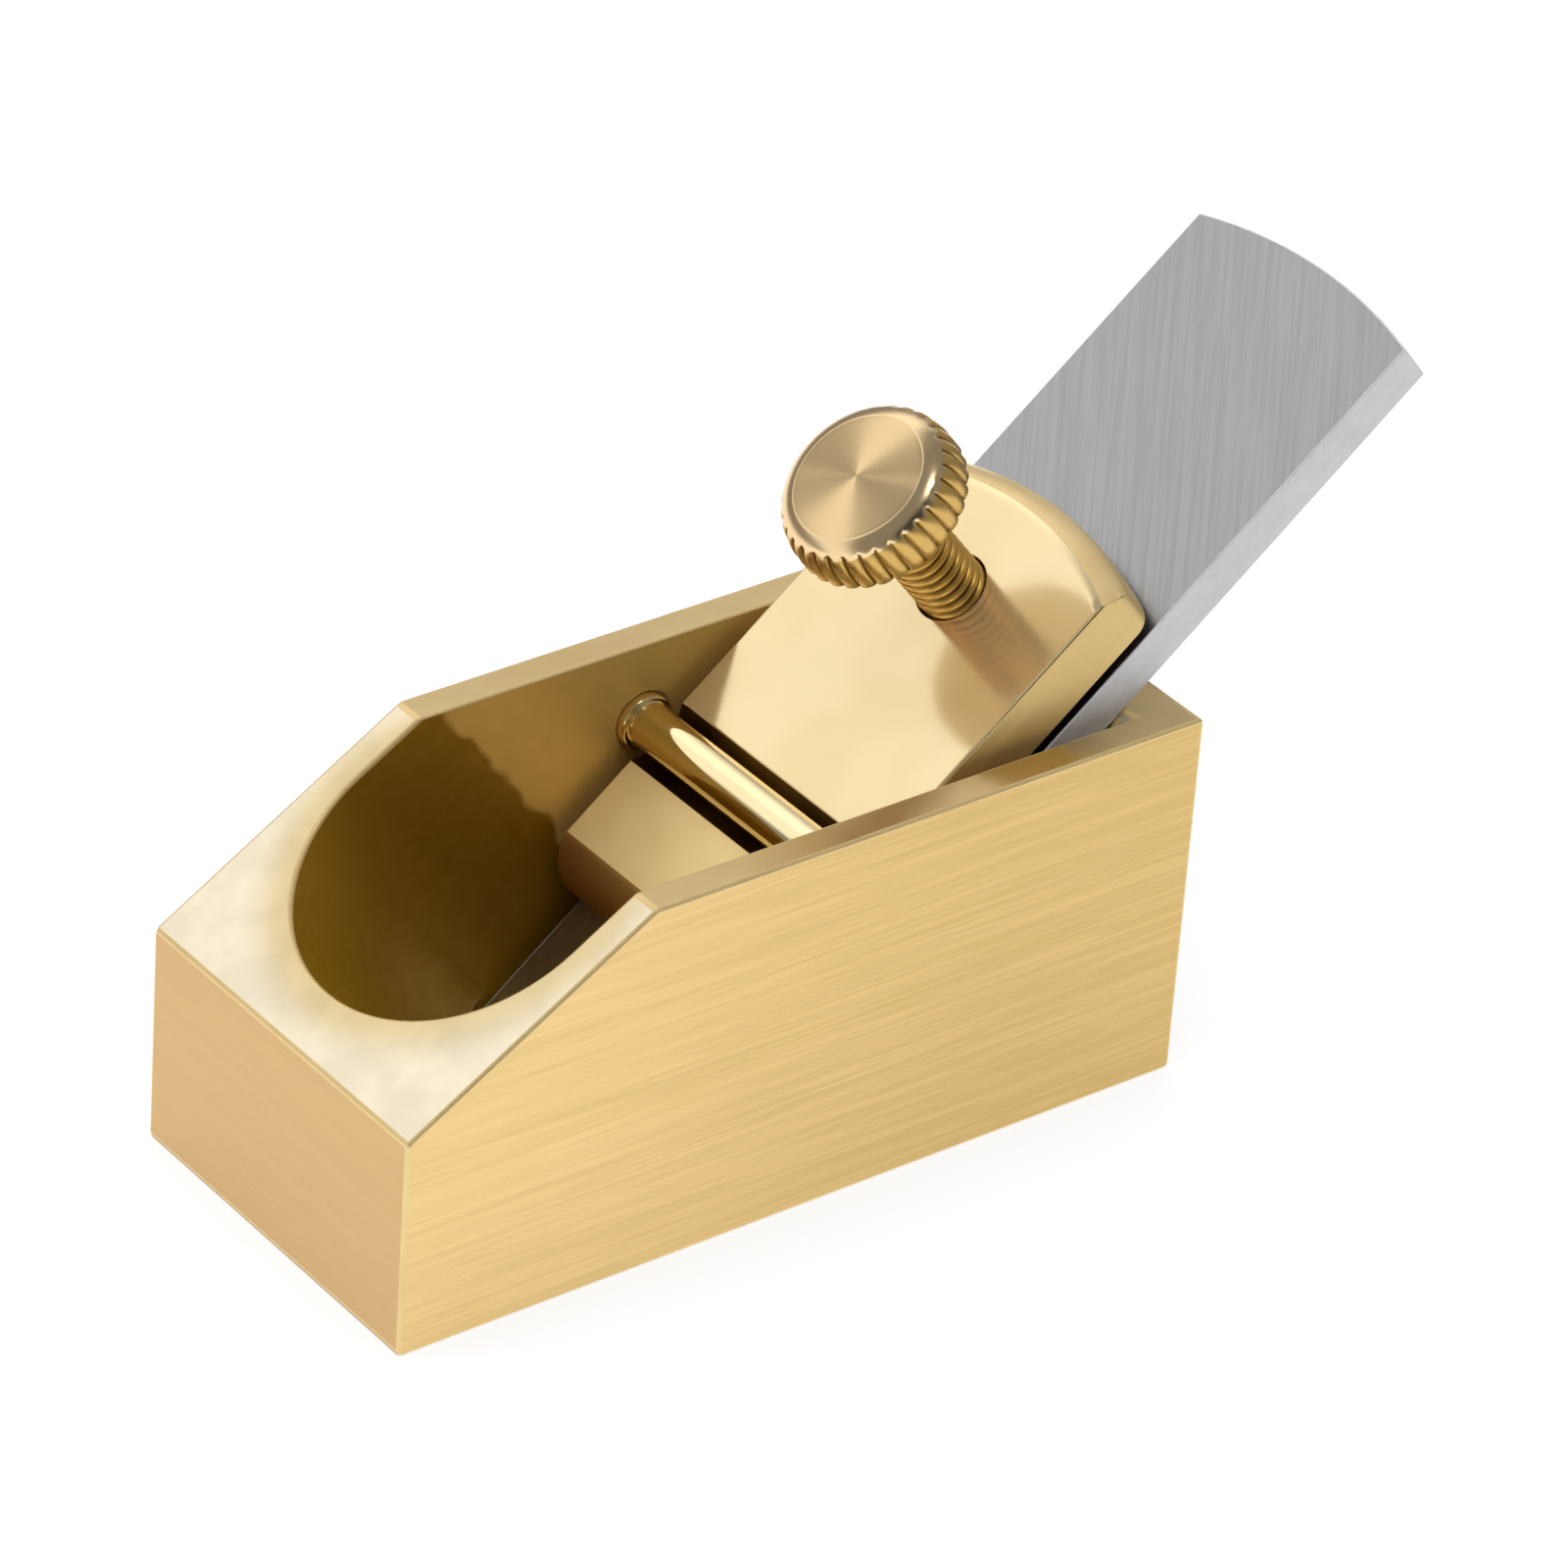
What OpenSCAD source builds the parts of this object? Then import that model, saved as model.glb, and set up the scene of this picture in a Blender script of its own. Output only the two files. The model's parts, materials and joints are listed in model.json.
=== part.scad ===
// Small brass thumb plane with a single iron, held by a rocking lever cap and a thumb screw.
// Frame: X towards the toe, Y across, +Z up, origin at the middle of the sole.
// Units are millimetres.

/* [Body] */
// Length of the body, toe to heel
body_length = 60; // [56:1:70]
// Width over both side walls
body_width = 27.6; // [27:0.2:32]
// Height of the side walls and heel
body_height = 26.4; // [25:0.2:28]
// Height of the flat toe face
toe_height = 15.6; // [13:0.2:18]
// Length of the sloping face, measured along the sole
slope_run = 17.7; // [16:0.1:19]
// Thickness of each side wall
wall = 2.4; // [2.2:0.1:3]
// Chamfer along the outer edges
edge_chamfer = 0.25; // [0.1:0.05:0.5]

/* [Blade bed] */
// Angle between the bed and the sole
bed_angle = 38.4; // [36:0.1:42]
// Distance from the middle of the sole to the foot of the bed
bed_foot_x = 7; // [5:0.1:9]
// Distance from the foot of the bed to the front of the escapement, square to the front wall
escapement_reach = 4.4; // [3.8:0.1:5]
// Open gap between the cutting edge and the front of the mouth, along the sole
mouth_gap = 1.1; // [0.6:0.1:2]
// Side clearance of the blade in the mouth
mouth_side_gap = 0.3; // [0.2:0.05:0.6]

/* [Blade] */
// Width of the blade
blade_width = 20.6; // [18:0.2:21]
// Thickness of the blade
blade_thickness = 3; // [2:0.1:3.2]
// Length of the blade along its centre line
blade_length = 76; // [60:1:90]
// Angle of the ground bevel
bevel_angle = 28; // [24:1:34]
// Radius of the rounded upper end of the blade
blade_end_radius = 39; // [20:1:60]
// Distance the cutting edge is drawn back from the sole, along the bed
edge_retract = 0.15; // [0.05:0.05:0.5]

/* [Lever cap] */
// Width of the lever cap
cap_width = 20.8; // [18:0.2:21]
// Thickness of the lever cap above its relieved underside
cap_thickness = 4.4; // [4:0.1:5]
// Gap between the underside of the cap and the blade
cap_relief = 0.9; // [0.7:0.1:1.2]
// Distance from the foot of the bed to the nose, along the bed
nose_distance = 11.4; // [9:0.1:13]
// Length of the lever cap along the bed
cap_length = 38; // [36:0.5:42]
// Radius of the rounded nose
nose_radius = 4; // [3:0.1:4.4]
// Radius of the rounded tail, seen from above
tail_radius = 26; // [20:1:40]
// Rounding of the tail's top edge
tail_edge_radius = 2.2; // [1:0.1:3]

/* [Cross pin] */
// Diameter of the cross pin
pin_diameter = 3.2; // [2.8:0.1:3.6]
// Diameter of the pin's head
pin_head_diameter = 4; // [3.8:0.1:4.6]
// Length of the head that stands inside the wall
pin_head_stand = 0.6; // [0.3:0.1:0.8]
// Distance from the foot of the bed to the pin, along the bed
pin_distance = 22.4; // [21:0.1:24]
// Width of the round groove in the lever cap, at the cap's top face
groove_width = 5; // [4.6:0.1:5.4]
// Depth of the groove in the lever cap
groove_depth = 1.05; // [0.9:0.05:1.2]

/* [Thumb screw] */
// Outer diameter of the thread
thread_diameter = 5; // [4:0.5:5]
// Pitch of the thread
thread_pitch = 0.8; // [0.7:0.1:1]
// Diameter of the knurled head
head_diameter = 12.1; // [10:0.1:14]
// Height of the knurled band
knurl_height = 2.1; // [1.5:0.1:4]
// Number of teeth round the head
knurl_teeth = 48; // [24:2:60]
// Distance from the blade to the underside of the head
stem_length = 15.1; // [12:0.1:20]
// Distance from the foot of the bed to the screw, along the bed
screw_distance = 41; // [39:0.1:42]

/* [Hidden] */
$fn = 96;

// Overshoot that lets a cut pass cleanly through a face
over = 1;
// A length longer than any part of the plane
reach = 100;

// Body
half_length = body_length / 2;
half_width = body_width / 2;
slope_top_x = half_length - slope_run;
slope_angle = atan((body_height - toe_height) / slope_run);
channel_half = half_width - wall;
// Width of the mouth, and its depth above the bed
mouth_half = blade_width / 2 + mouth_side_gap;
mouth_depth = blade_thickness + mouth_gap * sin(bed_angle);
// Centre of the rounded front of the escapement, measured up the bed from its foot
escapement_centre = channel_half - escapement_reach;

// Heights above the bed
blade_top = blade_thickness;
contact_gap = 0.05;
nose_bottom = blade_top + contact_gap;
cap_bottom = blade_top + cap_relief;
cap_top = cap_bottom + cap_thickness;
// Length of the nose pad that bears on the blade
nose_pad = 3;

// Blade
edge_distance = -blade_thickness / tan(bed_angle) + edge_retract;

// Cross pin, resting in a saddle at the bottom of the groove
pin_r = pin_diameter / 2;
pin_clearance = 0.06;
press_allowance = 0.01;
saddle_depth = 0.2;
groove_r = (pow(groove_width / 2, 2) + pow(groove_depth, 2)) / (2 * groove_depth);
pin_height = cap_top - groove_depth - saddle_depth + pin_r + pin_clearance;
pin_far_flush = 0.05;
blind_depth = wall - 0.6;
pin_end_chamfer = 0.3;

// Lever cap
tail_distance = nose_distance + cap_length;
cap_corner_radius = 1.6;
cap_edge_chamfer = 0.15;
// The rounded nose starts at an edge on top, and ends just above the blade
nose_edge_angle = 68;
nose_foot_angle = -8;
nose_foot_setback = 0.15;
screw_clearance = 0.2;

// Thumb screw
thread_r = thread_diameter / 2;
thread_depth = 0.61 * thread_pitch;
thread_plain = 0.6;
head_r = head_diameter / 2;
knurl_depth = 0.35;
rim_r = head_r - 1.25;
rim_rise = 1;
crown_rise = 0.5;
tip_chamfer = 0.6;

// Points of an arc from angle a0 to a1
function arc(cx, cy, r, a0, a1, steps) =
    [for (i = [0:steps]) let (a = a0 + (a1 - a0) * i / steps) [cx + r * cos(a), cy + r * sin(a)]];

// Moves children to the bed: their X runs down the bed from its foot, and Z stands off the bed
module on_bed() {
    translate([bed_foot_x, 0, 0]) rotate([0, bed_angle, 0]) children();
}

// Extrudes a side view, drawn with X and Z, symmetrically across Y
module across(width) {
    rotate([90, 0, 0]) linear_extrude(width, center = true) children();
}

// Outline of the body from the side, with the outer edges eased
module body_profile() {
    c = edge_chamfer;
    polygon([
        [-half_length + c, 0],
        [half_length - c, 0],
        [half_length, c],
        [half_length, toe_height - c],
        [half_length - c * cos(slope_angle), toe_height + c * sin(slope_angle)],
        [slope_top_x, body_height],
        [-half_length + c, body_height],
        [-half_length, body_height - c],
        [-half_length, c]
    ]);
}

// The channel for the blade and cap, with the round front of the escapement
module escapement() {
    on_bed() {
        translate([-escapement_centre, 0, 0]) cylinder(h = reach, r = channel_half);
        translate([-escapement_centre - reach, -channel_half, 0])
            cube([reach, 2 * channel_half, reach]);
    }
}

// The straight slot that carries the blade through the sole
module mouth() {
    run_out = 2 * mouth_depth / tan(bed_angle);
    on_bed()
        translate([-escapement_centre, -mouth_half, 0])
            cube([escapement_centre + run_out + over, 2 * mouth_half, mouth_depth]);
}

module plane_body() {
    color("goldenrod")
    difference() {
        across(body_width) body_profile();
        escapement();
        mouth();
        on_bed() translate([-pin_distance, 0, pin_height]) rotate([90, 0, 0]) {
            translate([0, 0, channel_half - over])
                cylinder(h = wall + 2 * over, r = pin_head_diameter / 2 - press_allowance);
            translate([0, 0, -channel_half - blind_depth])
                cylinder(h = channel_half, r = pin_r - press_allowance);
        }
    }
}

// Turned pin with a head that is pressed in from the -Y side
module cross_pin() {
    head_start = channel_half - pin_head_stand;
    head_end = half_width - pin_far_flush;
    shaft_end = channel_half + blind_depth - 0.1;
    head_r = pin_head_diameter / 2;
    e = pin_end_chamfer;
    color("gold")
    on_bed() translate([-pin_distance, 0, pin_height]) rotate([90, 0, 0])
        rotate_extrude() polygon([
            [0, -shaft_end],
            [pin_r - e, -shaft_end],
            [pin_r, -shaft_end + e],
            [pin_r, head_start],
            [head_r - e / 2, head_start],
            [head_r, head_start + e / 2],
            [head_r, head_end],
            [0, head_end]
        ]);
}

// The blade seen square to its face, with a rounded upper end
module blade_plan(end_distance) {
    w = blade_width / 2;
    r = blade_end_radius;
    intersection() {
        union() {
            translate([r - end_distance, 0]) circle(r, $fn = 192);
            translate([r - end_distance, -w]) square([blade_length, 2 * w]);
        }
        translate([-end_distance, -w]) square([blade_length, 2 * w]);
    }
}

module blade() {
    end_distance = blade_length + edge_distance;
    color("silver")
    on_bed()
        intersection() {
            linear_extrude(blade_thickness) blade_plan(end_distance);
            across(blade_width + over) polygon([
                [-end_distance, 0],
                [-edge_distance - blade_thickness / tan(bevel_angle), 0],
                [-edge_distance, blade_thickness],
                [-end_distance, blade_thickness]
            ]);
        }
}

// Side view of the lever cap, without its groove
module cap_profile() {
    r = nose_radius;
    nose_centre = cap_top - r * sin(nose_edge_angle);
    polygon(concat(
        [[-tail_distance, cap_bottom]],
        [[-tail_distance, cap_top]],
        arc(-nose_distance - r, nose_centre, r, nose_edge_angle, nose_foot_angle, 14),
        [[-nose_distance - nose_foot_setback, nose_bottom]],
        [[-nose_distance - nose_pad, nose_bottom]],
        [[-nose_distance - nose_pad - cap_relief, cap_bottom]]
    ));
}

// The lever cap seen from above, with a rounded tail
module cap_plan() {
    w = cap_width / 2;
    r = cap_corner_radius;
    cx = tail_radius - tail_distance;
    // Centre of each corner arc, tangent to the tail and to a side
    corner_x = cx - sqrt(pow(tail_radius - r, 2) - pow(w - r, 2));
    a = atan2(w - r, cx - corner_x);
    polygon(concat(
        [[0, -w]],
        [[0, w]],
        arc(corner_x, w - r, r, 90, 180 - a, 8),
        arc(cx, 0, tail_radius, 180 - a, 180 + a, 24),
        arc(corner_x, r - w, r, 180 + a, 270, 8)
    ));
}

// A cut straight across the cap at the cross pin
module across_cap(height, r) {
    translate([-pin_distance, 0, height]) rotate([90, 0, 0])
        cylinder(h = cap_width + over, r = r, center = true);
}

// The cap's cross-section, with its top edges eased
module cap_section() {
    w = cap_width / 2;
    c = cap_edge_chamfer;
    polygon([[-w, 0], [w, 0], [w, cap_top - c], [w - c, cap_top], [c - w, cap_top], [-w, cap_top - c]]);
}

// The round blank that the tail is cut from, with its top edge rounded
module tail_blank() {
    r = tail_edge_radius;
    translate([tail_radius - tail_distance, 0, 0]) rotate_extrude($fn = 192)
        polygon(concat(
            [[0, 0]],
            [[tail_radius, 0]],
            arc(tail_radius - r, cap_top - r, r, 0, 90, 10),
            [[0, cap_top]]
        ));
}

module lever_cap() {
    color("khaki")
    on_bed()
        difference() {
            intersection() {
                across(cap_width) cap_profile();
                linear_extrude(reach) cap_plan();
                rotate([90, 0, -90]) linear_extrude(reach) cap_section();
                tail_blank();
            }
            // Round groove under the cross pin, and the saddle that the pin sits in
            across_cap(cap_top - groove_depth + groove_r, groove_r);
            across_cap(pin_height, pin_r + pin_clearance);
            // Hole for the thumb screw
            translate([-screw_distance, 0, 0])
                cylinder(h = cap_top + over, r = thread_r + screw_clearance);
        }
}

// Knurled outline of the screw's head
module knurl_outline() {
    polygon([for (i = [0:2 * knurl_teeth - 1])
        let (a = i * 180 / knurl_teeth, r = head_r - (i % 2) * knurl_depth)
        [r * cos(a), r * sin(a)]]);
}

module thumb_screw() {
    tip = nose_bottom;
    under_head = tip + stem_length;
    threads = floor((stem_length - tip_chamfer - thread_plain) / thread_pitch);
    thread_start = under_head - thread_plain - threads * thread_pitch;
    band_top = under_head + knurl_height;
    color("darkgoldenrod")
    on_bed() translate([-screw_distance, 0, 0]) {
        // Threaded stem, its thread drawn as rings
        rotate_extrude() polygon(concat(
            [[0, tip]],
            [[thread_r - tip_chamfer, tip]],
            [for (i = [0:threads - 1], j = [0, 1])
                [thread_r - thread_depth * (1 - j), thread_start + (i + j / 2) * thread_pitch]],
            [[thread_r - thread_depth, under_head - thread_plain]],
            [[thread_r - thread_depth, under_head + over]],
            [[0, under_head + over]]
        ));
        // Knurled head with a rolled rim and a slightly crowned face
        intersection() {
            translate([0, 0, under_head]) linear_extrude(knurl_height + rim_rise + crown_rise + over)
                knurl_outline();
            rotate_extrude() polygon(concat(
                [[0, under_head]],
                [[head_r - 0.4, under_head]],
                [[head_r + over, under_head + 0.4 + over]],
                [[head_r + over, band_top - over]],
                arc(rim_r, band_top, head_r - rim_r - knurl_depth / 2, 0, 60, 8),
                [[rim_r, band_top + rim_rise]],
                [[0, band_top + rim_rise + crown_rise]]
            ));
        }
    }
}

plane_body();
cross_pin();
blade();
lever_cap();
thumb_screw();
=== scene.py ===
"""Looks for the small brass thumb plane: a brushed and polished body, a ground steel iron,
a hand-polished lever cap, a cross pin and a knurled thumb screw, on a pale floor."""
import json
import math

import bmesh
import bpy
from mathutils import Matrix, Vector


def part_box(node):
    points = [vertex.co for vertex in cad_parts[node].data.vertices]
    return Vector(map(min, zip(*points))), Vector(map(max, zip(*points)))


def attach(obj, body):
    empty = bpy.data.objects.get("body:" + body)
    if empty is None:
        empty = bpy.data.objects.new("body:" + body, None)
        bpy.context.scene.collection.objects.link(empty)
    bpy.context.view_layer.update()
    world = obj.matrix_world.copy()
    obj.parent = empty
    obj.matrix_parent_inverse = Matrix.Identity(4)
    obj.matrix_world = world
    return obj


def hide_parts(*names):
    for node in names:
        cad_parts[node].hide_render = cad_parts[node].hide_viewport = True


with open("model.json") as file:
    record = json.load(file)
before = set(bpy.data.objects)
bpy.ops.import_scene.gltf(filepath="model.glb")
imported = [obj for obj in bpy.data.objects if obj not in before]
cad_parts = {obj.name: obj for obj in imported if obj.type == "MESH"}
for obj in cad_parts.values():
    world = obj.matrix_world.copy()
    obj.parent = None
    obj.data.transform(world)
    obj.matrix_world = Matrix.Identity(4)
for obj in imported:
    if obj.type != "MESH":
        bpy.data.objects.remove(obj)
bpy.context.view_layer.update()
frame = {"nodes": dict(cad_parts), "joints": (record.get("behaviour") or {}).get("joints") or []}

MM = 0.001
JOINTS = {joint["name"]: joint for joint in frame["joints"]}

# The bed frame: X runs down the bed from its foot, Z stands off it, as the joints say
ACROSS = Vector((0, 1, 0))
DOWN = Vector(JOINTS["blade_slide"]["axis"]).normalized()
OFF = Vector(JOINTS["screw_turn"]["axis"]).normalized()
BED_HEIGHT = min(OFF.dot(v.co) for v in frame["nodes"]["blade"].data.vertices)
BED_FOOT = Vector((BED_HEIGHT / OFF.x, 0, 0))


def reach_along(node, axis):
    """Lowest and highest reach of a CAD node along an axis, counted from the foot of the bed."""
    reaches = [axis.dot(v.co - BED_FOOT) for v in frame["nodes"][node].data.vertices]
    return min(reaches), max(reaches)


# The pocket's front is round about an axis that stands off the bed
POCKET_CENTRE = 7.0 * MM
POCKET_RADIUS = 11.4 * MM

# How far a normal leans before it stops counting as along an axis, as a cosine
ALONG = 0.99
# And how far it may lean along an axis and still count as square to it
SQUARE = 0.01


# ---------------------------------------------------------------- node helpers

class Tree:
    """A node tree that is written as nested calls."""

    def __init__(self, tree):
        self.tree = tree
        tree.nodes.clear()

    def add(self, kind, settings=None, **inputs):
        """A node of this kind. An input is named, or is i0, i1... by place."""
        node = self.tree.nodes.new(kind)
        for key, value in (settings or {}).items():
            setattr(node, key, value)
        for key, value in inputs.items():
            self.put(node, int(key[1:]) if key[1:].isdigit() else key.replace("_", " "), value)
        return node

    def put(self, node, key, value):
        """Links a socket to the input, or sets it to a plain value."""
        socket = node.inputs[key]
        if isinstance(value, bpy.types.NodeSocket):
            self.tree.links.new(value, socket)
        else:
            socket.default_value = value

    def math(self, operation, a, b=0.0, c=0.0):
        return self.add("ShaderNodeMath", {"operation": operation}, i0=a, i1=b, i2=c).outputs[0]

    def vector(self, operation, a, b=(0, 0, 0)):
        node = self.add("ShaderNodeVectorMath", {"operation": operation}, i0=a, i1=b)
        return node.outputs["Value" if operation in ("DOT_PRODUCT", "LENGTH") else "Vector"]

    def between(self, value, low, high, to_low=0.0, to_high=1.0):
        """value, taken smoothly from low..high to to_low..to_high."""
        settings = {"interpolation_type": "SMOOTHSTEP"}
        node = self.add("ShaderNodeMapRange", settings, i0=value, i1=low, i2=high, i3=to_low, i4=to_high)
        return node.outputs[0]

    def noise(self, where, scale, detail=2.0, rough=0.5):
        node = self.add("ShaderNodeTexNoise", Vector=where, Scale=scale, Detail=detail, Roughness=rough)
        return node.outputs[0]

    def stretch(self, noise, low=0.0, high=1.0):
        """Noise, which mostly keeps between 0.3 and 0.7, taken to low..high."""
        return self.between(noise, 0.3, 0.7, low, high)

    def mix(self, amount, a, b):
        """The colour a where amount is 0, and b where it is 1."""
        node = self.add("ShaderNodeMix", {"data_type": "RGBA"})
        self.put(node, 0, amount)
        self.put(node, 6, a)
        self.put(node, 7, b)
        return node.outputs[2]

    def object_point(self):
        return self.add("ShaderNodeTexCoord").outputs["Object"]

    def bed_point(self):
        """The shaded point in the bed frame, for a piece whose object sits at the origin."""
        point = self.vector("SUBTRACT", self.object_point(), tuple(BED_FOOT))
        parts = [self.vector("DOT_PRODUCT", point, tuple(axis)) for axis in (DOWN, ACROSS, OFF)]
        return self.add("ShaderNodeCombineXYZ", X=parts[0], Y=parts[1], Z=parts[2]).outputs[0]

    def streaks(self, where, scale, turn=0.0, detail=3.0):
        """Noise drawn out into streaks: where is turned about Z, then scaled along each axis."""
        turned = self.add("ShaderNodeMapping", Vector=where, Rotation=(0, 0, turn)).outputs[0]
        drawn = self.add("ShaderNodeMapping", Vector=turned, Scale=scale).outputs[0]
        return self.noise(drawn, 1.0, detail, 0.6)


# Turns the gloss of a lathe-faced surface across its rings
QUARTER_TURN = 0.25


def metal(name, colour, roughness, bump, depth, anisotropic=0.0, tangent=None, metallic=1.0):
    """A metal material. colour, roughness, bump and tangent are functions of its tree."""
    material = bpy.data.materials.new(name)
    material.use_nodes = True
    tree = Tree(material.node_tree)
    shader = tree.add("ShaderNodeBsdfPrincipled", Metallic=metallic, Anisotropic=anisotropic)
    tree.put(shader, "Anisotropic Rotation", QUARTER_TURN)
    tree.put(shader, "Base Color", colour(tree))
    tree.put(shader, "Roughness", roughness(tree))
    if tangent:
        tree.put(shader, "Tangent", tangent(tree))
    normal = tree.add("ShaderNodeBump", Strength=1.0, Distance=depth, Height=bump(tree)).outputs[0]
    tree.put(shader, "Normal", normal)
    output = tree.add("ShaderNodeOutputMaterial")
    tree.tree.links.new(shader.outputs[0], output.inputs[0])
    return material


# ---------------------------------------------------------------- materials

# Scale of the faint haze on polished metal
HAZE = 300.0


def brushed_metal(name, dark, light, scale, rough, depth,
                  point=Tree.object_point, turn=0.0, painted_light_reach=None, metallic=1.0):
    """Metal brushed in one direction. painted_light_reach is where, along X, painted light takes it from
    dark to light.
    """
    coarse = tuple(part * 0.35 for part in scale)
    fine_share, band_share = 0.5, 0.15
    least_painted_light, most_painted_light = -0.15, 0.45

    def fine(tree):
        return tree.streaks(point(tree), scale, turn)

    def colour(tree):
        bands = tree.between(tree.streaks(point(tree), coarse, turn, 1.0), 0.35, 0.65)
        amount = tree.math("MULTIPLY", tree.stretch(fine(tree)), fine_share)
        amount = tree.math("MULTIPLY_ADD", bands, band_share, amount)
        # Painted light: lighter further along X
        if painted_light_reach:
            along = tree.vector("DOT_PRODUCT", point(tree), (1, 0, 0))
            amount = tree.math("ADD", amount, tree.between(along, *painted_light_reach, least_painted_light, most_painted_light))
        return tree.mix(amount, dark, light)

    def roughness(tree):
        return tree.stretch(fine(tree), *rough)

    return metal(name, colour, roughness, fine, depth, metallic=metallic)


def buffed_metal(name, dark, light, rough, wave=1.5e-5, wave_scale=110.0, patches=200.0, metallic=1.0):
    """Hand-polished metal: slow waves, a faint haze and soft patches."""
    def waves(tree):
        return tree.noise(tree.object_point(), wave_scale, 0.0, 0.4)

    def colour(tree):
        return tree.mix(tree.stretch(tree.noise(tree.object_point(), patches)), dark, light)

    def roughness(tree):
        return tree.stretch(tree.noise(tree.object_point(), HAZE), *rough)

    return metal(name, colour, roughness, waves, wave, metallic=metallic)


def slope_metal(name, rim, pale, rough):
    """The polished slope, deeper in colour where it rolls over into the round pocket, which is painted
    shade, and pale elsewhere, which is painted highlight.
    """
    painted_shade_start, painted_shade_end = POCKET_RADIUS + 0.6 * MM, POCKET_RADIUS + 4.2 * MM

    def colour(tree):
        offset = tree.vector("ADD", tree.bed_point(), (POCKET_CENTRE, 0, 0))
        from_axis = tree.vector("LENGTH", tree.vector("MULTIPLY", offset, (1, 1, 0)))
        patches = tree.noise(tree.object_point(), 260.0)
        reach = tree.math("MULTIPLY_ADD", patches, 0.8 * MM, from_axis)
        # Painted shade near the pocket's rim, pale painted highlight beyond it
        return tree.mix(tree.between(reach, painted_shade_start, painted_shade_end), rim, pale)

    def roughness(tree):
        return tree.stretch(tree.noise(tree.object_point(), HAZE), *rough)

    def waves(tree):
        return tree.noise(tree.object_point(), 140.0, 0.0, 0.4)

    return metal(name, colour, roughness, waves, 1.5e-5)


def channel_metal(name, front, wall, rough):
    """The milled channel: dull and dark round its front, which is painted shade, and lighter along the
    walls behind it.
    """
    front_end, wall_start = -POCKET_CENTRE + 0.5 * MM, -POCKET_CENTRE - 0.1 * MM

    def colour(tree):
        edge = tree.math("MULTIPLY_ADD", tree.noise(tree.object_point(), 320.0, 1.0), 2.4 * MM, 5.6 * MM)
        behind = tree.math("ADD", tree.vector("DOT_PRODUCT", tree.bed_point(), (1, 0, 0)), edge)
        amount = tree.between(behind, front_end, wall_start)
        haze = tree.math("MULTIPLY_ADD", tree.noise(tree.object_point(), 900.0, 3.0), 0.24, -0.12)
        # Painted shade: darker round the pocket's front
        return tree.mix(tree.math("ADD", amount, haze), front, wall)

    def roughness(tree):
        return tree.stretch(tree.noise(tree.object_point(), 700.0), *rough)

    def waves(tree):
        return tree.noise(tree.object_point(), 260.0, 3.0, 0.5)

    return metal(name, colour, roughness, waves, 1.2e-5, metallic=0.5)


def axis_distance(tree):
    """Distance from the local Z axis."""
    return tree.vector("LENGTH", tree.vector("MULTIPLY", tree.object_point(), (1, 1, 0)))


def turned_metal(name, dark, light, rough, anisotropic, ring_scale=1.2e4, depth=1.5e-6):
    """Metal faced on a lathe about local Z: fine rings, and gloss drawn out across them."""
    def rings(tree):
        where = tree.math("MULTIPLY", axis_distance(tree), ring_scale)
        where = tree.add("ShaderNodeCombineXYZ", X=where).outputs[0]
        return tree.noise(where, 1.0, 2.0, 0.6)

    def colour(tree):
        return tree.mix(rings(tree), dark, light)

    def roughness(tree):
        return tree.stretch(rings(tree), *rough)

    def tangent(tree):
        return tree.add("ShaderNodeTangent", {"direction_type": "RADIAL", "axis": "Z"}).outputs[0]

    return metal(name, colour, roughness, rings, depth, anisotropic, tangent)


def cut_metal(name, dark, light, rough):
    """Metal with teeth or threads. The mesh's crest value says where it is dark, which is painted shade in
    the valleys, and where bright.
    """
    def colour(tree):
        crest = tree.add("ShaderNodeAttribute", {"attribute_name": "crest"}).outputs["Fac"]
        patches = tree.math("MULTIPLY_ADD", tree.noise(tree.object_point(), 1500.0), 0.3, -0.15)
        return tree.mix(tree.math("ADD", tree.between(crest, 0.1, 0.75), patches), dark, light)

    def roughness(tree):
        return tree.stretch(tree.noise(tree.object_point(), 2500.0), *rough)

    def grain(tree):
        return tree.noise(tree.object_point(), 3000.0)

    return metal(name, colour, roughness, grain, 4e-6, metallic=0.85)


# The sides carry painted light, lighter towards the toe
SIDE_BRASS = brushed_metal(
    "brass_brushed_side", (0.655, 0.46, 0.175, 1), (0.90, 0.655, 0.30, 1),
    (110, 110, 5200), (0.36, 0.46), 2e-6, painted_light_reach=(-0.02, 0.028))
END_BRASS = brushed_metal(
    "brass_brushed_end", (0.64, 0.425, 0.19, 1), (0.76, 0.515, 0.24, 1),
    (5200, 130, 5200), (0.38, 0.48), 2e-6)
TOP_BRASS = buffed_metal("brass_top", (0.95, 0.69, 0.33, 1), (1.0, 0.76, 0.38, 1), (0.30, 0.36))
# The slope: pale painted highlight, with painted shade round the pocket's rim
SLOPE_BRASS = slope_metal("brass_slope", (0.78, 0.62, 0.34, 1), (0.94, 0.83, 0.63, 1), (0.2, 0.28))
# The channel: painted shade, darker round the pocket's front
CHANNEL_BRASS = channel_metal(
    "brass_channel", (0.34, 0.185, 0.008, 1), (0.79, 0.54, 0.16, 1), (0.42, 0.5))
EDGE_BRASS = buffed_metal(
    "brass_edge", (0.84, 0.62, 0.29, 1), (0.88, 0.66, 0.31, 1), (0.36, 0.44), 3e-6, metallic=0.7)
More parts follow.
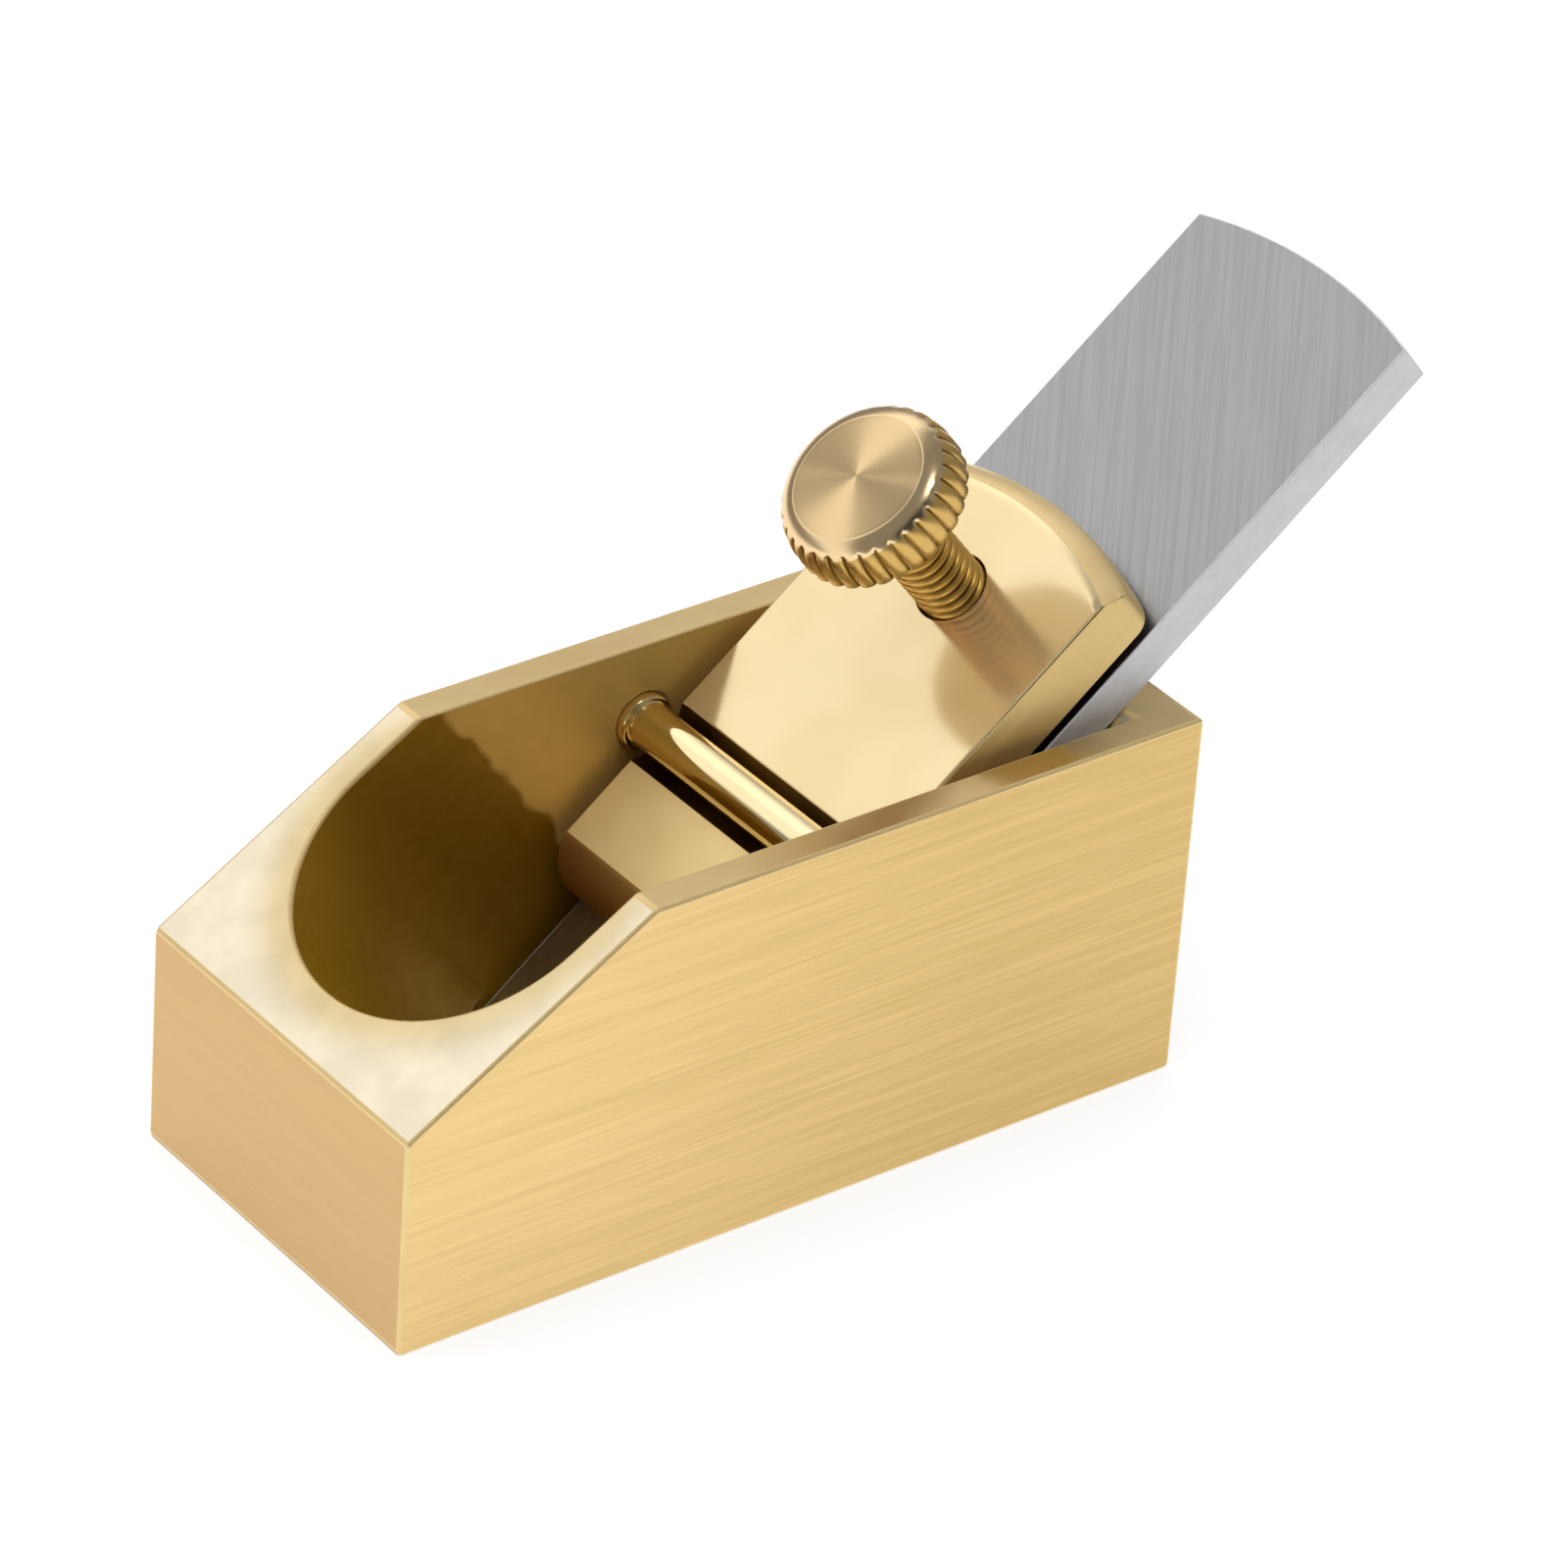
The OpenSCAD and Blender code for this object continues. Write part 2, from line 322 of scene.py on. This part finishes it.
# The cap's polished top: a paler brass than its flanks, which is painted highlight
CAP_PAINTED_HIGHLIGHT_BRASS = buffed_metal(
    "brass_cap", (0.86, 0.68, 0.375, 1), (0.9, 0.73, 0.425, 1), (0.12, 0.16),
    1.2e-5, 90.0, 120.0, metallic=0.8)
TAIL_BRASS = buffed_metal(
    "brass_cap_tail", (0.72, 0.525, 0.24, 1), (0.78, 0.58, 0.285, 1), (0.3, 0.38), 8e-6, metallic=0.5)
FLANK_BRASS = brushed_metal(
    "brass_cap_flank", (0.68, 0.49, 0.195, 1), (0.76, 0.56, 0.23, 1),
    (160, 3600, 3600), (0.34, 0.44), 3e-6, Tree.bed_point, metallic=0.6)
NOSE_BRASS = buffed_metal(
    "brass_nose", (0.92, 0.69, 0.31, 1), (0.97, 0.74, 0.35, 1), (0.42, 0.5), 3e-6, metallic=0.5)
# Painted reflection of the dark pocket: a dark, reddish brass for the nose's front
NOSE_END_PAINTED_REFLECTION = buffed_metal(
    "brass_nose_end_painted_reflection", (0.58, 0.32, 0.09, 1), (0.64, 0.36, 0.11, 1), (0.42, 0.5), 3e-6, metallic=0.8)
# Painted shade: near black, for the cap's underside and groove
PAINTED_SHADE_BRASS = buffed_metal("brass_painted_shade", (0.10, 0.055, 0.012, 1), (0.16, 0.09, 0.02, 1), (0.35, 0.5), 3e-6)
# The pin: a paler brass, which is painted highlight
PIN_PAINTED_HIGHLIGHT_BRASS = buffed_metal("brass_pin_painted_highlight", (0.90, 0.74, 0.42, 1), (0.94, 0.78, 0.46, 1), (0.06, 0.1), 3e-6)
RIM_BRASS = buffed_metal("brass_rim", (0.86, 0.63, 0.34, 1), (0.92, 0.69, 0.40, 1), (0.18, 0.24), 3e-6)
# Painted light: a pale brass under the knob, lifting the shade there
UNDER_PAINTED_LIGHT_BRASS = buffed_metal(
    "brass_under_painted_light", (0.97, 0.84, 0.60, 1), (1.0, 0.88, 0.64, 1), (0.35, 0.45), 3e-6, metallic=0.3)
# Knurl and thread: painted shade, dark down in their valleys
KNURL_BRASS = cut_metal("brass_knurl", (0.20, 0.105, 0.012, 1), (0.69, 0.44, 0.13, 1), (0.26, 0.34))
THREAD_BRASS = cut_metal("brass_thread", (0.16, 0.08, 0.008, 1), (0.78, 0.46, 0.105, 1), (0.26, 0.34))
FACE_BRASS = turned_metal("brass_turned", (0.80, 0.54, 0.26, 1), (1.0, 0.78, 0.44, 1), (0.3, 0.36), 1.0)
STEEL_FACE = brushed_metal(
    "steel_ground_face", (0.475, 0.475, 0.48, 1), (0.535, 0.535, 0.54, 1),
    (90, 4200, 90), (0.3, 0.4), 1.5e-6, Tree.bed_point, math.radians(-42))
STEEL_SIDE = brushed_metal(
    "steel_ground_side", (0.62, 0.62, 0.635, 1), (0.76, 0.755, 0.77, 1),
    (500, 500, 900), (0.45, 0.55), 4e-6, Tree.bed_point, metallic=0.3)


# ---------------------------------------------------------------- pieces

def new_piece(name, solid, materials):
    """A piece made of a bmesh, with every face shaded smooth."""
    mesh = bpy.data.meshes.new(name)
    bmesh.ops.recalc_face_normals(solid, faces=solid.faces)
    for face in solid.faces:
        face.smooth = True
    solid.to_mesh(mesh)
    solid.free()
    for material in materials:
        mesh.materials.append(material)
    piece = bpy.data.objects.new(name, mesh)
    bpy.context.scene.collection.objects.link(piece)
    return piece


def cad_solid(node):
    """The node's own solid as a bmesh, welded, with its flat faces whole."""
    solid = bmesh.new()
    solid.from_mesh(frame["nodes"][node].data)
    bmesh.ops.remove_doubles(solid, verts=solid.verts, dist=1e-6)
    bmesh.ops.dissolve_limit(solid, angle_limit=0.002, verts=solid.verts, edges=solid.edges)
    for face in solid.faces:
        face.material_index = 0
    return solid


def keep_flats(piece):
    """Keeps the piece's flats flat in its smooth shading."""
    shade = piece.modifiers.new("shade", "WEIGHTED_NORMAL")
    shade.keep_sharp = True


def ease_edges(piece, width, segments=3, material=-1):
    """Rounds every sharp edge. The rounding keeps its neighbours' material when none is given."""
    sharp = math.radians(30)
    bevel = piece.modifiers.new("eased", "BEVEL")
    bevel.width = width
    bevel.segments = segments
    bevel.limit_method = "ANGLE"
    bevel.angle_limit = sharp
    bevel.use_clamp_overlap = False
    bevel.material = material
    keep_flats(piece)


def place(piece, body, node):
    """The piece moves with a body and stands in for a node."""
    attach(piece, body)
    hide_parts(node)


def roll_over(solid, face, fixed):
    """Rolls a flat face down towards its outline in three gentle steps. Vertices that fixed picks stay."""
    widths, drops = (0.35, 0.4, 0.4), (0.125, 0.063, 0.021, 0.0)
    down = -face.normal.copy()
    rings = [list(face.verts)]
    for width in widths:
        bmesh.ops.inset_region(solid, faces=[face], thickness=width * MM, use_even_offset=True)
        rings.append(list(face.verts))
    for verts, drop in zip(rings, drops):
        for vert in verts:
            if not fixed(vert.co):
                vert.co += down * drop * MM


def make_body():
    """The casting's sides are brushed, its slope and wall tops polished, and its channel left as milled."""
    solid = cad_solid("plane_body")
    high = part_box("plane_body")[1]
    near = 0.1 * MM
    slope_area = 50 * MM * MM
    side, end, top, slope, channel, edge = range(6)
    for face in solid.faces:
        normal, centre = face.normal, face.calc_center_median()
        outer = abs(normal.y) > ALONG and abs(centre.y) > high.y - near
        sole = normal.z < -ALONG and centre.z < near
        if outer or sole:
            face.material_index = side
        elif abs(normal.x) > ALONG:
            face.material_index = end
        elif normal.z > ALONG and centre.z > high.z - near:
            face.material_index = top
        elif abs(normal.y) < SQUARE and normal.x > 0.3 and face.calc_area() > slope_area:
            face.material_index = slope
        elif abs(normal.y) < SQUARE and abs(centre.x) > 0.9 * high.x:
            face.material_index = edge
        else:
            face.material_index = channel
    slope_face = next(face for face in solid.faces if face.material_index == slope)
    roll_over(solid, slope_face, lambda co: co.z > high.z - 2 * near)
    materials = [SIDE_BRASS, END_BRASS, TOP_BRASS, SLOPE_BRASS, CHANNEL_BRASS, EDGE_BRASS]
    piece = new_piece("body_casting", solid, materials)
    ease_edges(piece, 0.26 * MM, material=edge)
    place(piece, "plane_body", "plane_body")


def make_iron():
    """The iron's faces are ground across, and its edges lengthways."""
    solid = cad_solid("blade")
    broad, narrow = range(2)
    for face in solid.faces:
        face.material_index = broad if abs(face.normal.dot(OFF)) > 0.7 else narrow
    piece = new_piece("iron", solid, [STEEL_FACE, STEEL_SIDE])
    ease_edges(piece, 0.12 * MM, material=narrow)
    place(piece, "blade", "blade")


# The cap's hole: every vertex within the reach is its rim, and is drawn in to the radius
HOLE_REACH = 3.2 * MM
HOLE_RADIUS = 2.45 * MM


def make_cap():
    """The cap's top is polished, in a paler brass that is painted highlight, its flanks brushed, and its
    underside and groove near black, which is painted shade.
    """
    solid = cad_solid("lever_cap")
    top = reach_along("lever_cap", OFF)[1]
    pin_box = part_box("cross_pin")
    pin_reach = DOWN.dot((pin_box[0] + pin_box[1]) / 2 - BED_FOOT)
    # The polished top is slot 0, which a face keeps when nothing below picks another
    flank, nose, dark, tail, nose_end = range(1, 6)
    for face in solid.faces:
        normal, centre = face.normal, face.calc_center_median() - BED_FOOT
        rise, along, forward = normal.dot(OFF), centre.dot(DOWN), normal.dot(DOWN)
        sideways = abs(normal.y) > 0.5
        in_groove = abs(along - pin_reach) < 3 * MM and centre.dot(OFF) < top - 0.05 * MM
        in_groove = in_groove and abs(normal.y) < SQUARE and rise < 0.999
        # The underside and groove take the painted shade
        if rise < -0.5 or in_groove:
            face.material_index = dark
        elif rise < 0.3 and (sideways or forward < 0):
            face.material_index = flank
        elif sideways:
            face.material_index = tail
        elif along > pin_reach:
            # Nose faces turned down the bed take the painted reflection
            face.material_index = nose_end if forward > 0.35 else nose
        elif forward < -0.25:
            face.material_index = tail
    screw_axis = Vector(JOINTS["screw_turn"]["pos_m"])
    for vert in solid.verts:
        offset = vert.co - screw_axis
        offset -= OFF * OFF.dot(offset)
        if offset.length < HOLE_REACH:
            vert.co += offset.normalized() * (HOLE_RADIUS - offset.length)
    metals = [CAP_PAINTED_HIGHLIGHT_BRASS, FLANK_BRASS, NOSE_BRASS, PAINTED_SHADE_BRASS, TAIL_BRASS, NOSE_END_PAINTED_REFLECTION]
    piece = new_piece("cap", solid, metals)
    ease_edges(piece, 0.07 * MM, 2)
    place(piece, "lever_cap", "lever_cap")


# ---------------------------------------------------------------- turned pieces

# Knurl teeth round the head, and steps round each
TEETH = 32
TOOTH_STEPS = 9
HEAD_STEPS = TEETH * TOOTH_STEPS
STEM_STEPS = HEAD_STEPS // 3


def ring(solid, radius, height, steps, depth=0.0):
    """A ring of vertices about local Z, cut into knurl teeth of this depth."""
    crest = solid.verts.layers.float["crest"]
    verts = []
    for step in range(steps):
        angle = math.tau * step / steps
        rise = tooth(step) if depth else 1.0
        r = radius - depth * (1.0 - rise)
        vert = solid.verts.new((r * math.cos(angle), r * math.sin(angle), height))
        vert[crest] = rise
        verts.append(vert)
    return verts


def skin(solid, lower, upper, material=0):
    """Joins two rings, or a ring and one with a whole number of times its steps."""
    share = len(upper) // len(lower)
    for step in range(len(lower)):
        here, after = lower[step], lower[(step + 1) % len(lower)]
        beyond = [upper[(step * share + i) % len(upper)] for i in range(share + 1)]
        face = solid.faces.new([here, after] + beyond[::-1])
        face.material_index = material


def close(solid, loop, height, material=0):
    """Ends a ring in a point on the axis."""
    centre = solid.verts.new((0, 0, height))
    for step in range(len(loop)):
        face = solid.faces.new([loop[step], loop[(step + 1) % len(loop)], centre])
        face.material_index = material


def scale_to_metres(solid):
    """Takes a turned piece, which is drawn in millimetres, to metres."""
    bmesh.ops.scale(solid, vec=(MM, MM, MM), verts=solid.verts)


def tooth(step):
    """Height of a knurl tooth: a broad round ridge with a narrow valley at each side."""
    return abs(math.sin(math.pi * step / TOOTH_STEPS)) ** 0.5


def make_screw():
    """A turned, knurled head on a stem with a real helical thread."""
    tip, apex = (z / MM for z in reach_along("thumb_screw", OFF))
    head_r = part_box("thumb_screw")[1].y / MM
    stem_r, pitch = 2.3, 0.8
    minor = stem_r - 0.5 * pitch
    head_height = 3.6
    under = apex - head_height
    start = tip + 0.5
    run_in, run_out = 0.6 * pitch, 0.35 * pitch
    tip_drops = (0.2, 0.45)
    in_knurl, in_face, in_thread, in_rim, in_under = range(5)
    solid = bmesh.new()
    crest = solid.verts.layers.float.new("crest")

    # Stem: each row climbs one pitch as it goes round, so its last vertex meets the row a turn above.
    # The thread's form is given as (share of the pitch, share of the depth)
    form = [(0.0, 0.0), (0.14, 0.0), (0.28, 0.5), (0.42, 1.0), (0.56, 1.0), (0.7, 0.5), (0.84, 0.0)]
    turns = math.ceil((under - start) / pitch) + 1

    def stem_vert(row, step):
        turn, part = divmod(row, len(form))
        share, rise = form[part]
        z = start + (turn - 1 + share + step / STEM_STEPS) * pitch
        z = min(max(z, start), under)
        rise *= max(0.0, min(1.0, (z - start) / run_in, (under - z) / run_out))
        r = minor + (stem_r - minor) * rise
        angle = math.tau * step / STEM_STEPS
        vert = solid.verts.new((r * math.cos(angle), r * math.sin(angle), z))
        vert[crest] = rise
        return vert

    count = len(form) * (turns + 1) + 1
    rows = [[stem_vert(row, step) for step in range(STEM_STEPS + 1)] for row in range(count)]
    for lower, upper in zip(rows, rows[1:]):
        for step in range(STEM_STEPS):
            face = solid.faces.new([lower[step], lower[step + 1], upper[step + 1], upper[step]])
            face.material_index = in_thread
    bmesh.ops.remove_doubles(solid, verts=solid.verts, dist=1e-5)

    def level(height):
        found = [v for v in solid.verts if abs(v.co.z - height) < 1e-6]
        return sorted(found, key=lambda v: math.atan2(v.co.y, v.co.x) % math.tau)

    previous = level(under)
    loops = [level(start)] + [ring(solid, minor - drop, start - drop, STEM_STEPS) for drop in tip_drops]
    for upper, lower in zip(loops, loops[1:]):
        skin(solid, lower, upper, in_thread)
    close(solid, loops[-1], tip, in_thread)

    # Head, as (distance in from the edge, distance down from the crown, tooth depth, material)
    outline = [
        (0.55, head_height, 0.0, in_under), (0.25, head_height, 0.1, in_under),
        (0.1, 3.58, 0.24, in_under),
        (0.0, 3.46, 0.28, in_knurl), (0.0, 2.9, 0.28, in_knurl), (0.0, 2.45, 0.28, in_knurl),
        (0.03, 2.1, 0.28, in_knurl), (0.09, 1.75, 0.28, in_knurl), (0.18, 1.4, 0.28, in_knurl),
        (0.30, 1.1, 0.27, in_knurl), (0.42, 0.94, 0.22, in_knurl),
        (0.5, 0.84, 0.16, in_rim), (0.6, 0.72, 0.04, in_rim), (0.75, 0.595, 0.0, in_rim),
        (0.85, 0.53, 0.0, in_rim), (0.95, 0.465, 0.0, in_rim), (1.05, 0.413, 0.0, in_rim),
        (1.15, 0.363, 0.0, in_rim), (1.25, 0.32, 0.0, in_rim), (1.35, 0.282, 0.0, in_rim),
        (1.45, 0.25, 0.0, in_rim), (1.55, 0.225, 0.0, in_rim), (1.61, 0.226, 0.0, in_rim),
        (1.67, 0.223, 0.0, in_face), (1.73, 0.204, 0.0, in_face),
    ]
    # The face swells a little towards its centre
    face_r, face_drop, face_steps = head_r - 1.8, 0.19, 14
    for i in range(face_steps):
        share = 1 - i / face_steps
        outline.append((head_r - face_r * share, face_drop * share ** 2, 0.0, in_face))
    for inset, drop, depth, material in outline:
        loop = ring(solid, head_r - inset, apex - drop, HEAD_STEPS, depth)
        skin(solid, previous, loop, material)
        previous = loop
    close(solid, previous, apex, in_face)

    scale_to_metres(solid)
    metals = [KNURL_BRASS, FACE_BRASS, THREAD_BRASS, RIM_BRASS, UNDER_PAINTED_LIGHT_BRASS]
    piece = new_piece("screw_turned", solid, metals)
    axis_point = Vector(JOINTS["screw_turn"]["pos_m"])
    foot = axis_point - OFF * OFF.dot(axis_point - BED_FOOT)
    turn = Matrix((DOWN, OFF.cross(DOWN), OFF)).transposed()
    piece.matrix_world = Matrix.Translation(foot) @ turn.to_4x4()
    keep_flats(piece)
    place(piece, "thumb_screw", "thumb_screw")


def make_pin():
    """A polished pin in a paler brass, which is painted highlight, with a rounded collar inside the far
    wall.
    """
    low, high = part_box("cross_pin")
    centre = (low + high) / 2
    collar_r = (high.z - low.z) / 2 / MM
    shaft_r = 1.6
    # The piece's local Z runs to the far wall, where the pin's head and its centre mark are
    blind, head = -high.y / MM, -low.y / MM
    collar = head - 2.95
    chamfer, neck, bead_r, bead_steps = 0.3, 0.1, 0.22, 6
    mark_r, mark_floor_r, mark_depth, mark_tip = 0.5, 0.3, 0.25, 0.35
    steps = 96
    solid = bmesh.new()
    solid.verts.layers.float.new("crest")
    outline = [
        (shaft_r - chamfer, blind), (shaft_r, blind + chamfer),
        (shaft_r, collar - 0.12), (shaft_r - neck, collar - 0.04), (shaft_r - neck, collar),
    ]
    for i in range(bead_steps + 1):
        angle = math.radians(-90 + 90 * i / bead_steps)
        outline.append((
            collar_r - bead_r + bead_r * math.cos(angle),
            collar + bead_r + bead_r * math.sin(angle),
        ))
    outline += [
        (collar_r, head - 0.15), (collar_r - 0.15, head), (mark_r, head), (mark_floor_r, head - mark_depth),
    ]
    loops = [ring(solid, r, z, steps) for r, z in outline]
    close(solid, loops[0], blind)
    for lower, upper in zip(loops, loops[1:]):
        skin(solid, lower, upper)
    close(solid, loops[-1], head - mark_tip)
    scale_to_metres(solid)
    piece = new_piece("pin_polished", solid, [PIN_PAINTED_HIGHLIGHT_BRASS])
    piece.matrix_world = Matrix.Translation((centre.x, 0, centre.z)) @ Matrix.Rotation(math.pi / 2, 4, "X")
    keep_flats(piece)
    place(piece, "plane_body", "cross_pin")


make_body()
make_iron()
make_cap()
make_screw()
make_pin()


# ---------------------------------------------------------------- stage

def make_floor():
    """A wide floor that glows a little, so that it stays near white."""
    grey, glow = 0.36, 0.7
    reach = 4.0
    mesh = bpy.data.meshes.new("floor")
    corners = [(-reach, -reach, 0), (reach, -reach, 0), (reach, reach, 0), (-reach, reach, 0)]
    mesh.from_pydata(corners, [], [(0, 1, 2, 3)])
    floor = bpy.data.objects.new("floor", mesh)
    bpy.context.scene.collection.objects.link(floor)
    material = bpy.data.materials.new("floor_white")
    material.use_nodes = True
    shader = material.node_tree.nodes["Principled BSDF"]
    shader.inputs["Base Color"].default_value = (grey, grey, grey, 1)
    shader.inputs["Emission Color"].default_value = (1, 1, 1, 1)
    shader.inputs["Emission Strength"].default_value = glow
    shader.inputs["Roughness"].default_value = 0.9
    shader.inputs["Specular IOR Level"].default_value = 0.1
    mesh.materials.append(material)


def make_world():
    """A dim studio with a long soft light behind the plane, leaning over it, and a dark camera side."""
    dim, bright = 0.26, 0.86
    across_strip, along_strip = (0.04, 0.707, 0.706), (1, 0, 0)
    patches = [
        # direction, full within and gone beyond these degrees, strength
        ((-0.12, -0.68, 0.72), 6, 22, 0.25),
        ((0.05, 0.22, 0.975), 4, 11, 3.0),
        ((0.33, 0.72, 0.55), 8, 31, -0.21),
    ]
    world = bpy.data.worlds.new("studio")
    bpy.context.scene.world = world
    world.use_nodes = True
    tree = Tree(world.node_tree)
    direction = tree.add("ShaderNodeTexCoord").outputs["Generated"]
    off_centre = tree.math("ABSOLUTE", tree.vector("DOT_PRODUCT", direction, across_strip))
    strip = tree.between(off_centre, 0.10, 0.25, 1.0, 0.0)
    length = tree.between(tree.vector("DOT_PRODUCT", direction, along_strip), -1.1, -0.1)
    light = tree.math("MULTIPLY_ADD", tree.math("MULTIPLY", strip, length), bright, dim)
    for towards, inner, outer, strength in patches:
        along = tree.vector("DOT_PRODUCT", direction, tuple(Vector(towards).normalized()))
        fade = tree.between(along, math.cos(math.radians(outer)), math.cos(math.radians(inner)))
        light = tree.math("ADD", light, tree.math("MULTIPLY", fade, strength))
    background = tree.add("ShaderNodeBackground", Color=(1, 1, 1, 1), Strength=light)
    output = tree.add("ShaderNodeOutputWorld")
    tree.tree.links.new(background.outputs[0], output.inputs[0])


def make_overhead():
    """A large soft lamp over the floor, which the metal doesn't mirror."""
    lamp = bpy.data.lights.new("overhead", "AREA")
    lamp.shape = "SQUARE"
    lamp.size = 4.0
    lamp.energy = 110.0
    height = 3.0
    rig = bpy.data.objects.new("overhead", lamp)
    rig.location = (0.0, 0.0, height)
    rig.visible_glossy = False
    bpy.context.scene.collection.objects.link(rig)


def make_camera():
    """A long lens, looking down over the toe's near corner."""
    azimuth, elevation, roll = (math.radians(a) for a in (141.117, 32.177, 4.237))
    place_mm = (272.137, 347.083, 301.839)
    lens_mm, sensor_mm = 193.3, 36.0
    back = Vector((
        math.sin(azimuth) * math.cos(elevation),
        -math.cos(azimuth) * math.cos(elevation),
        math.sin(elevation),
    ))
    right = Vector((0, 0, 1)).cross(back).normalized()
    up = back.cross(right)
    turned_right = math.cos(roll) * right + math.sin(roll) * up
    turned_up = math.cos(roll) * up - math.sin(roll) * right
    data = bpy.data.cameras.new("camera")
    data.lens = lens_mm
    data.sensor_width = sensor_mm
    data.clip_start = 0.01
    camera = bpy.data.objects.new("camera", data)
    turn = Matrix((turned_right, turned_up, back)).transposed()
    camera.matrix_world = Matrix.Translation(Vector(place_mm) * MM) @ turn.to_4x4()
    bpy.context.scene.collection.objects.link(camera)
    bpy.context.scene.camera = camera


make_floor()
make_world()
make_overhead()
make_camera()
bpy.context.scene.view_settings.view_transform = "Standard"
